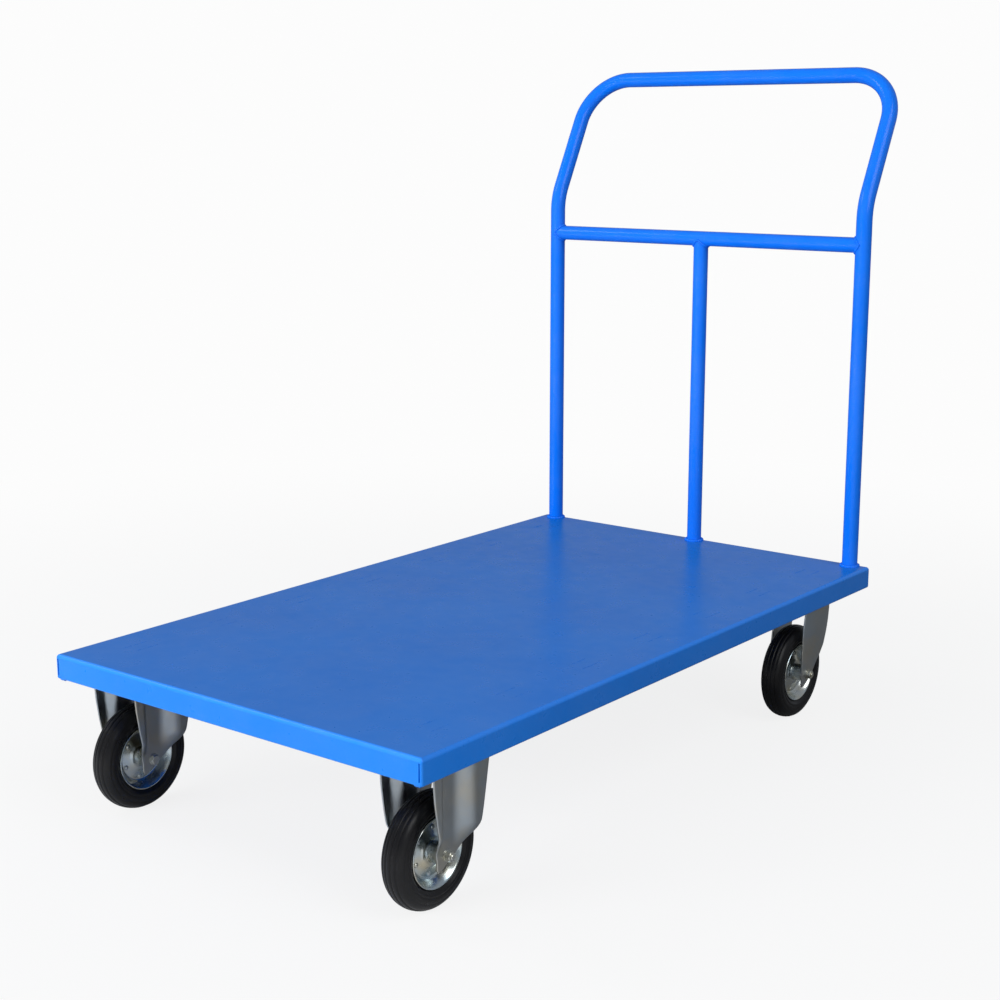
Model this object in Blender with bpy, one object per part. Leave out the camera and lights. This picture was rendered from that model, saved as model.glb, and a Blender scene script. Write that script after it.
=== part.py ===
"""Platform cart: a pressed sheet-steel deck on a welded tube frame, a welded push handle of bent pipe,
two fixed castors at the front and two swivel castors at the handle end.

Metres, +Z up. The origin is on the floor, under the middle of the cart's outline. +Y runs from the free
end of the deck towards the handle, and +X is to the right for someone who looks along +Y.
"""

import math

import bmesh
import bpy
from mathutils import Matrix, Vector

# ---------------------------------------------------------------- driving dimensions
TOUCH_GAP = 0.0003            # clearance between two pieces that touch

DECK_LENGTH = 1.200
DECK_WIDTH = 0.700
DECK_TOP = 0.245              # loading height
SHEET = 0.002                 # deck sheet thickness
SKIRT = 0.037                 # height of the folded-down edge
LIP = 0.0125                  # width of the edge's inward return
FOLD_RADIUS = 0.004

PIPE = 0.0269                 # outer diameter of the handle pipe
PIPE_WALL = 0.0026
POST_SPACING = 0.636
KNEE_HEIGHT = 0.620           # above the deck
CROSSBAR_HEIGHT = 0.555       # above the deck
GRIP_HEIGHT = 0.838           # above the deck
GRIP_SETBACK = 0.112          # how far the grip stands behind the posts
KNEE_RADIUS = 0.100
CORNER_RADIUS = 0.085
PIPE_SIDES = 12

RAIL_HEIGHT = 0.0285
RAIL_WIDTH = 0.025
CROSS_WIDTH = 0.020
RAIL_WALL = 0.002
STRIP = 0.004                 # thickness of the two plates across the cart that the castors bolt to
STRIP_LENGTH = 0.150          # along the deck
STRIP_WIDTH = 0.668

WHEEL_RADIUS = 0.080
TRACK_HALF = 0.282            # from the cart's middle to a wheel's middle plane
FIXED_PLATE = -0.502          # middle of a fixed castor's plate, along the deck from its middle
FIXED_OFFSET = 0.008          # how far its axle stands in front of the plate's middle
SWIVEL_AXIS = 0.4905          # along the deck, from its middle
SWIVEL_OFFSET = 0.038         # how far the wheel trails its swivel axis
PLATE_LENGTH = 0.135
PLATE_WIDTH = 0.110
PLATE = 0.004
BOLT_PITCH_Y = 0.105
BOLT_PITCH_X = 0.052
BOLT_HOLE = 0.0045            # radius
BOLT_SHANK = 0.0038           # radius
LEG_INSIDE = 0.029            # from the wheel's middle plane to the inner face of a fork leg
LEG_SHEET = 0.003
AXLE_RADIUS = 0.004

# ---------------------------------------------------------------- derived places
POST_Y = DECK_LENGTH / 2 - PIPE / 2                      # posts stand flush with the deck's rear edge
CART_BACK = POST_Y + GRIP_SETBACK + PIPE / 2
DECK_Y = (DECK_LENGTH / 2 - CART_BACK) / 2               # puts the outline's middle at y = 0
RAIL_TOP = DECK_TOP - SHEET - TOUCH_GAP
RAIL_BOTTOM = RAIL_TOP - RAIL_HEIGHT
STRIP_BOTTOM = RAIL_BOTTOM - TOUCH_GAP - STRIP
PLATE_TOP = STRIP_BOTTOM - TOUCH_GAP
PLATE_BOTTOM = PLATE_TOP - PLATE
SIDES = (("left", -1), ("right", 1))


# ---------------------------------------------------------------- scene and materials
for old in list(bpy.data.objects):
    bpy.data.objects.remove(old)


def material(name, colour, roughness, metallic):
    """A Principled BSDF of one colour."""
    made = bpy.data.materials.new(name)
    made.use_nodes = True
    shader = made.node_tree.nodes["Principled BSDF"]
    shader.inputs["Base Color"].default_value = (*colour, 1)
    shader.inputs["Roughness"].default_value = roughness
    shader.inputs["Metallic"].default_value = metallic
    return made


BLUE_PAINT = material("blue_paint", (0.02, 0.16, 0.72), 0.35, 0.0)
ZINC = material("zinc_plate", (0.62, 0.65, 0.66), 0.30, 1.0)
RUBBER = material("black_rubber", (0.02, 0.02, 0.022), 0.65, 0.0)
STEEL = material("plain_steel", (0.45, 0.45, 0.46), 0.45, 1.0)


def add(name, bm, finish, place=Vector(), smooth_angle=35):
    """Turns a bmesh into the named object, standing at place."""
    bmesh.ops.recalc_face_normals(bm, faces=bm.faces)
    mesh = bpy.data.meshes.new(name)
    bm.to_mesh(mesh)
    bm.free()
    mesh.materials.append(finish)
    mesh.shade_smooth()
    mesh.set_sharp_from_angle(angle=math.radians(smooth_angle))
    made = bpy.data.objects.new(name, mesh)
    made.location = place
    bpy.context.scene.collection.objects.link(made)
    return made


def boolean(target, tool, operation="DIFFERENCE", keep_tool=False):
    """Joins or cuts target with tool. A tool that isn't kept is hidden as a helper."""
    modifier = target.modifiers.new(operation.lower(), "BOOLEAN")
    modifier.operation = operation
    modifier.object = tool
    if not keep_tool:
        tool.hide_render = True
        tool.display_type = "WIRE"


# ---------------------------------------------------------------- shape helpers
def bridge(bm, rings, closed):
    """Joins rings of points with quads, and the last ring to the first where closed."""
    rows = [[bm.verts.new(p) for p in ring] for ring in rings]
    count = len(rows[0])
    pairs = list(zip(rows, rows[1:]))
    if closed:
        pairs.append((rows[-1], rows[0]))
    for a, b in pairs:
        for i in range(count):
            j = (i + 1) % count
            bm.faces.new((a[i], a[j], b[j], b[i]))
    if not closed:
        bm.faces.new(rows[0])
        bm.faces.new(list(reversed(rows[-1])))
    return bm


def turned(profile, sides, closed=True, axis="X"):
    """A bmesh turned about an axis from (along, radius) points: a ring where closed, else a capped shaft."""
    rings = []
    for along, radius in profile:
        ring = []
        for k in range(sides):
            angle = 2 * math.pi * k / sides
            u = radius * math.cos(angle)
            v = radius * math.sin(angle)
            ring.append((along, u, v) if axis == "X" else (u, v, along))
        rings.append(ring)
    return bridge(bmesh.new(), rings, closed)


def box(size, centre=Vector()):
    """A bmesh block of that size about centre."""
    bm = bmesh.new()
    bmesh.ops.create_cube(bm, size=1, matrix=Matrix.Translation(centre) @ Matrix.Diagonal((*size, 1)))
    return bm


def rectangle(half_x, half_y, z, corner, steps=2):
    """Points of a rounded rectangle at height z, anticlockwise."""
    points = []
    for quarter, (sx, sy) in enumerate(((1, 1), (-1, 1), (-1, -1), (1, -1))):
        for k in range(steps + 1):
            angle = math.pi / 2 * (quarter + k / steps)
            x = sx * (half_x - corner) + corner * math.cos(angle)
            y = sy * (half_y - corner) + corner * math.sin(angle)
            points.append((x, y, z))
    return points


def rounded_corners(corners, radii, step=math.radians(15)):
    """A centreline through corners, with an arc of the given radius at each inner one."""
    line = [Vector(corners[0])]
    for before, at, after, radius in zip(corners, corners[1:], corners[2:], radii):
        back = (Vector(before) - Vector(at)).normalized()
        on = (Vector(after) - Vector(at)).normalized()
        bend = math.pi - back.angle(on)
        reach = radius * math.tan(bend / 2)
        centre = Vector(at) + (back + on).normalized() * (radius / math.cos(bend / 2))
        start = Vector(at) + back * reach - centre
        axis = start.cross(Vector(at) + on * reach - centre)
        count = max(2, round(bend / step))
        line += [centre + Matrix.Rotation(bend * k / count, 3, axis) @ start for k in range(count + 1)]
    line.append(Vector(corners[-1]))
    return line


def pipe(line, radius, wall, sides=PIPE_SIDES):
    """A bmesh tube with open ends along a centreline."""
    line = [Vector(p) for p in line]
    ways = [(b - a).normalized() for a, b in zip(line, line[1:])]
    tangents = [ways[0]] + [(a + b).normalized() for a, b in zip(ways, ways[1:])] + [ways[-1]]
    side = tangents[0].orthogonal().normalized()
    outer, inner = [], []
    for point, tangent in zip(line, tangents):
        side = (side - tangent * side.dot(tangent)).normalized()
        up = tangent.cross(side)
        turns = [2 * math.pi * k / sides for k in range(sides)]
        spokes = [side * math.cos(a) + up * math.sin(a) for a in turns]
        outer.append([point + s * radius for s in spokes])
        inner.append([point + s * (radius - wall) for s in spokes])
    return bridge(bmesh.new(), outer + inner[::-1], closed=True)


def cylinder_along(way, centre, radius, length, sides=24):
    """A bmesh cylinder along a direction, for cutting."""
    turn = Vector(way).to_track_quat("Z", "Y").to_matrix().to_4x4()
    bm = bmesh.new()
    bmesh.ops.create_cone(
        bm, cap_ends=True, segments=sides, radius1=radius, radius2=radius, depth=length,
        matrix=Matrix.Translation(centre) @ turn,
    )
    return bm


# ---------------------------------------------------------------- deck
def deck_sheet():
    """One sheet folded down on four sides, each edge returned inwards at the bottom."""
    half_x, half_y, bottom = DECK_WIDTH / 2, DECK_LENGTH / 2, DECK_TOP - SKIRT
    rings = []
    for k in range(4):
        angle = math.pi / 2 * k / 3
        inset = FOLD_RADIUS * (1 - math.sin(angle))
        rings.append((inset, DECK_TOP - FOLD_RADIUS * (1 - math.cos(angle))))
    rings += [(0, bottom), (LIP, bottom), (LIP, bottom + SHEET), (SHEET, bottom + SHEET), (SHEET, DECK_TOP - SHEET)]
    corner = 2 * FOLD_RADIUS
    loops = [
        rectangle(half_x - inset, half_y - inset, z, max(corner - inset, FOLD_RADIUS)) for inset, z in rings
    ]
    return add("deck_sheet", bridge(bmesh.new(), loops, closed=False), BLUE_PAINT, Vector((0, DECK_Y, 0)))


# ---------------------------------------------------------------- frame under the deck
def rail(name, length, width, way, centre):
    """A rectangular tube with open ends, along X or Y."""
    rings = []
    for half_w, half_h in ((width / 2, RAIL_HEIGHT / 2), (width / 2 - RAIL_WALL, RAIL_HEIGHT / 2 - RAIL_WALL)):
        section = [(-half_w, -half_h), (half_w, -half_h), (half_w, half_h), (-half_w, half_h)]
        for end in (-length / 2, length / 2):
            rings.append([(end, a, b) if way == "X" else (a, end, b) for a, b in section])
    outer_a, outer_b, inner_a, inner_b = rings
    bm = bridge(bmesh.new(), [outer_a, outer_b, inner_b, inner_a], closed=True)
    return add(name, bm, BLUE_PAINT, Vector(centre))


def frame():
    """Two side rails over the wheels, and cross rails between them in the middle and under the posts."""
    z = RAIL_TOP - RAIL_HEIGHT / 2
    end = DECK_LENGTH / 2 - LIP - TOUCH_GAP
    between = 2 * (TRACK_HALF - RAIL_WIDTH / 2 - TOUCH_GAP)
    rail("cross_rail_middle", between, CROSS_WIDTH, "X", (0, DECK_Y, z))
    rail("cross_rail_rear", between, CROSS_WIDTH, "X", (0, DECK_Y + end - CROSS_WIDTH / 2, z))
    for name, sign in SIDES:
        rail(f"side_rail_{name}", 2 * end, RAIL_WIDTH, "Y", (sign * TRACK_HALF, DECK_Y, z))


def bolt_places():
    """The four bolt places of a castor plate, from its middle."""
    return [(sx * BOLT_PITCH_X / 2, sy * BOLT_PITCH_Y / 2) for sx in (-1, 1) for sy in (-1, 1)]


def drilled_plate(name, size, bottom, place, finish, corner=0.008, middles=(0,)):
    """A flat plate with rounded corners and four bolt holes round each middle, given along X."""
    half_x, half_y, thick = size[0] / 2, size[1] / 2, size[2]
    loops = [rectangle(half_x, half_y, z, corner) for z in (bottom, bottom + thick)]
    plate = add(name, bridge(bmesh.new(), loops, closed=False), finish, place)
    holes = bmesh.new()
    for x, y in [(m + x, y) for m in middles for x, y in bolt_places()]:
        middle = Matrix.Translation((x, y, bottom + thick / 2))
        bmesh.ops.create_cone(
            holes, cap_ends=True, segments=8, radius1=BOLT_HOLE, radius2=BOLT_HOLE, depth=4 * thick, matrix=middle
        )
    boolean(plate, add(f"{name}_holes", holes, finish, place))
    return plate


def mount_strips():
    """The plates across the cart, one for each pair of castors, and the bolts through them."""
    size = (STRIP_WIDTH, STRIP_LENGTH, STRIP)
    for end, along in (("front", FIXED_PLATE), ("rear", SWIVEL_AXIS)):
        place = Vector((0, DECK_Y + along, 0))
        middles = (-TRACK_HALF, TRACK_HALF)
        drilled_plate(f"mount_strip_{end}", size, STRIP_BOTTOM, place, BLUE_PAINT, 0.003, middles)
        for side_name, sign in SIDES:
            for k, (x, y) in enumerate(bolt_places(), 1):
                bolt_place = place + Vector((sign * TRACK_HALF + x, y, 0))
                mounting_bolt(f"mounting_bolt_{end}_{side_name}_{k}", bolt_place)


def mounting_bolt(name, place):
    """A hexagon bolt from below, with its nut above the strip."""
    across = 0.0072
    head, nut, stud = 0.0053, 0.0065, 0.002
    low = PLATE_BOTTOM - TOUCH_GAP
    high = STRIP_BOTTOM + STRIP + TOUCH_GAP
    profile = [(low - head, across), (low, across), (low, BOLT_SHANK), (high, BOLT_SHANK), (high, across)]
    profile += [(high + nut, across), (high + nut, BOLT_SHANK), (high + nut + stud, BOLT_SHANK)]
    add(name, turned(profile, 6, closed=False, axis="Z"), ZINC, place)


# ---------------------------------------------------------------- handle
def handle():
    """The bent pipe, the bar across it and the post in its middle, with saddle-cut ends."""
    half = POST_SPACING / 2
    back = DECK_Y + POST_Y
    foot = DECK_TOP + TOUCH_GAP
    knee = DECK_TOP + KNEE_HEIGHT
    grip = Vector((half, back + GRIP_SETBACK, DECK_TOP + GRIP_HEIGHT))
    corners = [(-half, back, foot), (-half, back, knee), (-half, grip.y, grip.z)]
    corners += [(half, grip.y, grip.z), (half, back, knee), (half, back, foot)]
    line = rounded_corners(corners, (KNEE_RADIUS, CORNER_RADIUS, CORNER_RADIUS, KNEE_RADIUS))
    add("handle_pipe", pipe(line, PIPE / 2, PIPE_WALL), BLUE_PAINT)

    level = DECK_TOP + CROSSBAR_HEIGHT
    bar = add("handle_crossbar", pipe([(-half, back, level), (half, back, level)], PIPE / 2, PIPE_WALL), BLUE_PAINT)
    saddle = PIPE / 2 + TOUCH_GAP
    for name, sign in SIDES:
        cut = cylinder_along((0, 0, 1), (sign * half, back, level), saddle, 3 * PIPE)
        boolean(bar, add(f"crossbar_saddle_{name}", cut, BLUE_PAINT))

    post = add("handle_centre_post", pipe([(0, back, foot), (0, back, level)], PIPE / 2, PIPE_WALL), BLUE_PAINT)
    cut = cylinder_along((1, 0, 0), (0, back, level), saddle, 3 * PIPE)
    boolean(post, add("centre_post_saddle", cut, BLUE_PAINT))


# ---------------------------------------------------------------- wheel
TYRE_SIDES = 32
RIM_SIDES = 20
HUB_RADIUS = 0.0145
HUB_HALF = LEG_INSIDE - TOUCH_GAP
TYRE_PROFILE = (
    (0.0080, 0.0440), (0.0106, 0.0470), (0.0126, 0.0506), (0.0150, 0.0518), (0.0190, 0.0550), (0.0195, 0.0630),
    (0.0178, 0.0705), (0.0140, 0.0757), (0.0085, 0.0788), (0.0030, WHEEL_RADIUS),
)
RIM_PROFILE = (
    (0.0003, 0.0149), (0.0023, 0.0149), (0.0023, 0.0325), (0.0065, 0.0370), (0.0140, 0.0450), (0.0168, 0.0486),
    (0.0152, 0.0493), (0.0122, 0.0455), (0.0050, 0.0392), (0.0003, 0.0350),
)


def mirrored(profile):
    """A closed profile from its half at positive along."""
    return list(profile) + [(-along, radius) for along, radius in reversed(profile)]


def wheel(where, outward, place):
    """Rubber tyre, two pressed rim halves and the hub tube that turns on the axle bolt."""
    add(f"tyre_{where}", turned(mirrored(TYRE_PROFILE), TYRE_SIDES), RUBBER, place)
    for side, sign in (("outer", outward), ("inner", -outward)):
        half = [(sign * along, radius) for along, radius in RIM_PROFILE]
        add(f"rim_{side}_{where}", turned(half, RIM_SIDES), ZINC, place)
    bore = AXLE_RADIUS + TOUCH_GAP
    ring = [(-HUB_HALF, bore), (HUB_HALF, bore), (HUB_HALF, HUB_RADIUS), (-HUB_HALF, HUB_RADIUS)]
    add(f"hub_{where}", turned(ring, RIM_SIDES), ZINC, place)


def axle(where, outward, place):
    """The bolt through both fork legs and the hub, with its nut on the cart's outer side."""
    outside = LEG_INSIDE + LEG_SHEET + TOUCH_GAP
    head, nut, stud = 0.0055, 0.0080, 0.0020
    flats = 0.0065 / math.cos(math.pi / 6)
    shank = [(-outward * outside, AXLE_RADIUS), (outward * (outside + nut + stud), AXLE_RADIUS)]
    bolt = add(f"axle_bolt_{where}", turned(shank, 16, closed=False), ZINC, place)
    cap = [(-outward * (outside + head), flats), (-outward * (outside - TOUCH_GAP / 2), flats)]
    top = add(f"axle_head_{where}", turned(cap, 6, closed=False), ZINC, place)
    boolean(bolt, top, "UNION")
    bore = AXLE_RADIUS + TOUCH_GAP
    hexagon = turned([(outward * outside, flats), (outward * (outside + nut), flats)], 6, closed=False)
    made = add(f"axle_nut_{where}", hexagon, ZINC, place)
    drill = turned([(outward * (outside - nut), bore), (outward * (outside + 2 * nut), bore)], 16, closed=False)
    boolean(made, add(f"nut_drill_{where}", drill, ZINC, place))


# ---------------------------------------------------------------- fork legs
def along_table(table, z):
    """Reads a table of (height, value) rows at height z, by straight lines."""
    for (z0, a), (z1, b) in zip(table, table[1:]):
        if z <= z1:
            return a + (b - a) * (z - z0) / (z1 - z0)
    return table[-1][1]


def leg(name, heights, front, rear, outset, side, place, columns=7):
    """A pressed sheet leg between its front and rear edges, set out from the wheel by outset."""
    skins = []
    bm = bmesh.new()
    for layer in (0, LEG_SHEET):
        rows = []
        for z in heights:
            y0, y1 = along_table(front, z), along_table(rear, z)
            steps = [y0 + (y1 - y0) * k / columns for k in range(columns + 1)]
            rows.append([bm.verts.new((side * (outset(y, z) + layer), y, z)) for y in steps])
        skins.append(rows)
    for rows in skins:
        for a, b in zip(rows, rows[1:]):
            for k in range(columns):
                bm.faces.new((a[k], a[k + 1], b[k + 1], b[k]))
    rims = []
    for rows in skins:
        up = [row[-1] for row in rows[1:-1]]
        down = [row[0] for row in reversed(rows[1:-1])]
        rims.append(rows[0] + up + list(reversed(rows[-1])) + down)
    inner, outer = rims
    for k in range(len(inner)):
        j = (k + 1) % len(inner)
        bm.faces.new((inner[k], inner[j], outer[j], outer[k]))
    made = add(name, bm, ZINC, place)
    hole = cylinder_along((1, 0, 0), (0, 0, WHEEL_RADIUS), AXLE_RADIUS + TOUCH_GAP, 4 * LEG_INSIDE, sides=12)
    boolean(made, add(f"{name}_hole", hole, ZINC, place))
    return made


# Heights above the floor and distances from the axle. The fixed leg is a channel: a flat floor at the
# axle, a wing on each side of it that steps outwards, and a lip along each edge. Both fade out downwards.
FIXED_FRONT = (
    (0.0615, -0.0185), (0.066, -0.0195), (0.080, -0.0205), (0.095, -0.0240), (0.104, -0.0290), (0.134, -0.0350),
    (0.165, -0.0395), (0.212, -0.0435),
)
FIXED_REAR = (
    (0.0615, -0.0150), (0.066, -0.0065), (0.072, 0.0045), (0.080, 0.0190), (0.090, 0.0325), (0.100, 0.0445),
    (0.115, 0.0535), (0.133, 0.0580), (0.160, 0.0630), (0.212, 0.0720),
)
FIXED_HEIGHTS = (0.0615, 0.066, 0.072, 0.079, 0.090, 0.101, 0.115, 0.134, 0.163)
STEP_OUT = 0.0145


def fixed_outset(y, z):
    """The channel: flat in its middle, stepped out on both sides above the axle."""
    share = min(1.0, max(0.0, (z - 0.088) / 0.022))
    wing = max((y - 0.018) / 0.020, (-0.014 - y) / 0.011)
    return LEG_INSIDE + STEP_OUT * share * min(1.0, max(0.0, wing))


def fixed_castor(side_name, sign):
    """A one-piece bracket: the bolted plate with two channel legs, and the wheel in it."""
    where = f"front_{side_name}"
    middle = Vector((sign * TRACK_HALF, DECK_Y + FIXED_PLATE, 0))
    place = middle - Vector((0, FIXED_OFFSET, 0))
    fork = drilled_plate(f"fixed_fork_{side_name}", (PLATE_WIDTH, PLATE_LENGTH, PLATE), PLATE_BOTTOM, middle, ZINC)
    heights = [*FIXED_HEIGHTS, PLATE_BOTTOM + PLATE / 2]
    for leg_name, leg_side in SIDES:
        made = leg(
            f"fixed_leg_{where}_{leg_name}", heights, FIXED_FRONT, FIXED_REAR, fixed_outset, leg_side, place
        )
        boolean(fork, made, "UNION")
    wheel(where, sign, place + Vector((0, 0, WHEEL_RADIUS)))
    axle(where, sign, place + Vector((0, 0, WHEEL_RADIUS)))


# ---------------------------------------------------------------- swivel castor
CROWN_RADIUS = 0.041
RACE = 0.006                  # height of the ball race between plate and crown
CROWN_TOP = PLATE_BOTTOM - RACE - 2 * TOUCH_GAP
SWIVEL_FRONT = (
    (0.0600, -0.0175), (0.066, -0.0185), (0.093, -0.0195), (0.107, -0.0190), (0.122, -0.0180), (0.150, -0.0150),
    (0.182, -0.0110), (0.200, -0.0090),
)
SWIVEL_REAR = (
    (0.0600, -0.0120), (0.066, 0.0000), (0.080, 0.0180), (0.093, 0.0290), (0.107, 0.0430), (0.122, 0.0530),
    (0.150, 0.0600), (0.182, 0.0680), (0.200, 0.0700),
)
SWIVEL_HEIGHTS = (0.060, 0.066, 0.079, 0.093, 0.107, 0.122, 0.150, 0.170)


def swivel_outset(y, z):
    """Flat at the axle, and growing round towards the crown, which it meets behind the axle."""
    share = min(1.0, max(0.0, (z - 0.110) / 0.060))
    from_axis = (y - SWIVEL_OFFSET) / CROWN_RADIUS
    bulge = math.sqrt(max(0.0, 1 - from_axis**2)) * (CROWN_RADIUS - LEG_SHEET) - LEG_INSIDE
    return LEG_INSIDE + share * max(-0.003, 0.8 * bulge)


def swivel_castor(side_name, sign):
    """Bolted plate, ball race, kingpin, and the fork that turns under them with its wheel."""
    where = f"rear_{side_name}"
    axis = Vector((sign * TRACK_HALF, DECK_Y + SWIVEL_AXIS, 0))
    place = axis - Vector((0, SWIVEL_OFFSET, 0))
    size = (PLATE_WIDTH, PLATE_LENGTH, PLATE)
    plate = drilled_plate(f"swivel_plate_{side_name}", size, PLATE_BOTTOM, axis, ZINC)
    pin_hole = 0.006
    centre = Vector((0, 0, PLATE_BOTTOM + PLATE / 2))
    drill = cylinder_along((0, 0, 1), centre, pin_hole + TOUCH_GAP, 4 * PLATE, sides=16)
    boolean(plate, add(f"plate_pin_hole_{side_name}", drill, ZINC, axis))

    low, high = PLATE_BOTTOM - RACE - TOUCH_GAP, PLATE_BOTTOM - TOUCH_GAP
    ring = [(low, 0.024), (high, 0.024), (high, 0.035), (low, 0.038)]
    add(f"ball_race_{side_name}", turned(ring, 24, axis="Z"), STEEL, axis)

    crown_bottom = CROWN_TOP - LEG_SHEET
    crown = [(crown_bottom, CROWN_RADIUS), (CROWN_TOP - 0.001, CROWN_RADIUS), (CROWN_TOP, CROWN_RADIUS - 0.001)]
    fork = add(f"swivel_fork_{side_name}", turned(crown, 32, closed=False, axis="Z"), ZINC, axis)
    heights = [*SWIVEL_HEIGHTS, CROWN_TOP - 0.0012]
    for leg_name, leg_side in SIDES:
        made = leg(
            f"swivel_leg_{where}_{leg_name}", heights, SWIVEL_FRONT, SWIVEL_REAR, swivel_outset, leg_side, place
        )
        boolean(fork, made, "UNION")
    drill = cylinder_along((0, 0, 1), Vector((0, 0, CROWN_TOP)), pin_hole + TOUCH_GAP, 4 * PLATE, sides=16)
    boolean(fork, add(f"crown_pin_hole_{side_name}", drill, ZINC, axis))

    flange, flange_radius = 0.003, 0.012
    under = crown_bottom - TOUCH_GAP
    shaft = [(under - flange, flange_radius), (under, flange_radius), (under, pin_hole), (PLATE_TOP, pin_hole)]
    add(f"kingpin_{side_name}", turned(shaft, 16, closed=False, axis="Z"), STEEL, axis)

    wheel(where, sign, place + Vector((0, 0, WHEEL_RADIUS)))
    axle(where, sign, place + Vector((0, 0, WHEEL_RADIUS)))


# ---------------------------------------------------------------- the cart
deck_sheet()
frame()
mount_strips()
handle()
for side_name, sign in SIDES:
    fixed_castor(side_name, sign)
    swivel_castor(side_name, sign)
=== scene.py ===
import math

import bmesh
import bpy
from mathutils import Matrix, Vector


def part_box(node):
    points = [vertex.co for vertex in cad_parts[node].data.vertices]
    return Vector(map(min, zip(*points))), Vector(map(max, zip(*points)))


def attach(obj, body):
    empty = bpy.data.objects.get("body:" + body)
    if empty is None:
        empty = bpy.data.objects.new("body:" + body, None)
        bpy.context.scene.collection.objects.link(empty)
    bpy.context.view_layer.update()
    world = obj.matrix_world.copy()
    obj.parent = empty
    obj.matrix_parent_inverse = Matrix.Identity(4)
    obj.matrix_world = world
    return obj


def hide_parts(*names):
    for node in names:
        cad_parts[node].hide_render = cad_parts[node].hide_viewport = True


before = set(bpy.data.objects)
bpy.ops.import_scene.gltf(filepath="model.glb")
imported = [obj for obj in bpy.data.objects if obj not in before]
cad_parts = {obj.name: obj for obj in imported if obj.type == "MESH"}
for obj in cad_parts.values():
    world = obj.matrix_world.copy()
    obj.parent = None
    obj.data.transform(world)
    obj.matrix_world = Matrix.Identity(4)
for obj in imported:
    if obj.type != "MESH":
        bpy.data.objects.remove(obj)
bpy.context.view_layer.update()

# ------------------------------------------------------------------------------------------ deck
# The loading deck: one 2 mm steel sheet, folded down on four sides with a small return at the bottom.
# Each corner is closed by a weld, which leaves a narrow open slit in the end faces. Powder coated blue.

def effect(name, inputs, outputs):
    """An empty shader group with named number inputs and outputs."""
    group = bpy.data.node_groups.new(name, "ShaderNodeTree")
    group.interface.new_socket("Place", in_out="INPUT", socket_type="NodeSocketVector")
    for label, value in inputs:
        group.interface.new_socket(label, in_out="INPUT", socket_type="NodeSocketFloat").default_value = value
    for label in outputs:
        group.interface.new_socket(label, in_out="OUTPUT", socket_type="NodeSocketFloat")
    return group, group.nodes.new("NodeGroupInput").outputs, group.nodes.new("NodeGroupOutput").inputs


def put(tree, kind, settings=None, **inputs):
    """Adds a node. Inputs go by name, or by number as _0, and are each a value or a socket to link."""
    node = tree.nodes.new(kind)
    for key, value in (settings or {}).items():
        setattr(node, key, value)
    for label, value in inputs.items():
        key = int(label[1:]) if label[0] == "_" else label.replace("_", " ")
        if isinstance(value, bpy.types.NodeSocket):
            tree.links.new(value, node.inputs[key])
        else:
            node.inputs[key].default_value = value
    return node


def maths(tree, operation, *terms, clamp=False):
    """The result of one Math node on its terms."""
    inputs = {f"_{k}": term for k, term in enumerate(terms)}
    return put(tree, "ShaderNodeMath", {"operation": operation, "use_clamp": clamp}, **inputs).outputs[0]


def mapped(tree, value, low, high, to_low=0.0, to_high=1.0, way="LINEAR"):
    """A value moved from low..high to to_low..to_high, and held between those two."""
    return put(
        tree, "ShaderNodeMapRange", {"interpolation_type": way}, Value=value, From_Min=low, From_Max=high,
        To_Min=to_low, To_Max=to_high,
    ).outputs["Result"]


def cloud(tree, place, scale, detail, roughness=0.5):
    """Cloudy noise, mostly between 0.3 and 0.7."""
    return put(
        tree, "ShaderNodeTexNoise", Vector=place, Scale=scale, Detail=detail, Roughness=roughness,
    ).outputs["Fac"]


def build_patchy():
    """Soft patches: a value that drifts between Low and High over the surface."""
    group, came, out = effect("patchy", (("Scale", 10), ("Low", 0), ("High", 1)), ("Value",))
    drift = cloud(group, came["Place"], came["Scale"], 4.0)
    value = mapped(group, drift, 0.3, 0.7, came["Low"], came["High"])
    group.links.new(value, out["Value"])
    return group


def build_grit():
    """Fine dust and specks: a mask that is mostly 0, with soft settled patches and sharp specks in it."""
    group, came, out = effect("grit", (("Scale", 60), ("Amount", 0.3)), ("Mask",))
    soft = mapped(group, cloud(group, came["Place"], 9.0, 5.0, 0.65), 0.42, 0.75)
    speck = mapped(group, cloud(group, came["Place"], came["Scale"], 3.0), 0.5, 0.72)
    both = maths(group, "ADD", maths(group, "MULTIPLY", soft, speck), soft)
    group.links.new(maths(group, "MULTIPLY", both, came["Amount"], clamp=True), out["Mask"])
    return group


def build_skin():
    """The skin of a sprayed or moulded surface: fine orange peel on long, low waves, as a height from 0 to 1."""
    group, came, out = effect("skin", (("Fine", 700), ("Long", 14), ("Share", 0.85)), ("Height",))
    fine = cloud(group, came["Place"], came["Fine"], 1.5)
    waves = cloud(group, came["Place"], came["Long"], 2.0)
    both = put(group, "ShaderNodeMix", Factor=came["Share"], A=fine, B=waves)
    group.links.new(both.outputs["Result"], out["Height"])
    return group


PATCHY, GRIT, SKIN = build_patchy(), build_grit(), build_skin()


def surface(name):
    """A new material: its node tree, its Principled shader and the place on the piece."""
    material = bpy.data.materials.new(name)
    material.use_nodes = True
    tree = material.node_tree
    place = tree.nodes.new("ShaderNodeTexCoord").outputs["Object"]
    return material, tree, tree.nodes["Principled BSDF"], place


def group_in(tree, group, place, **values):
    """Puts an effect group into a material with its own values, and gives its first output."""
    node = tree.nodes.new("ShaderNodeGroup")
    node.node_tree = group
    tree.links.new(place, node.inputs["Place"])
    for label, value in values.items():
        node.inputs[label].default_value = value
    return node.outputs[0]


def blend(tree, share, first, second):
    """The colour that lies share of the way from first to second, each a colour or a socket."""
    first, second = [(*c, 1) if isinstance(c, tuple) else c for c in (first, second)]
    return put(tree, "ShaderNodeMix", {"data_type": "RGBA"}, Factor=share, _6=first, _7=second).outputs[2]


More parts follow.
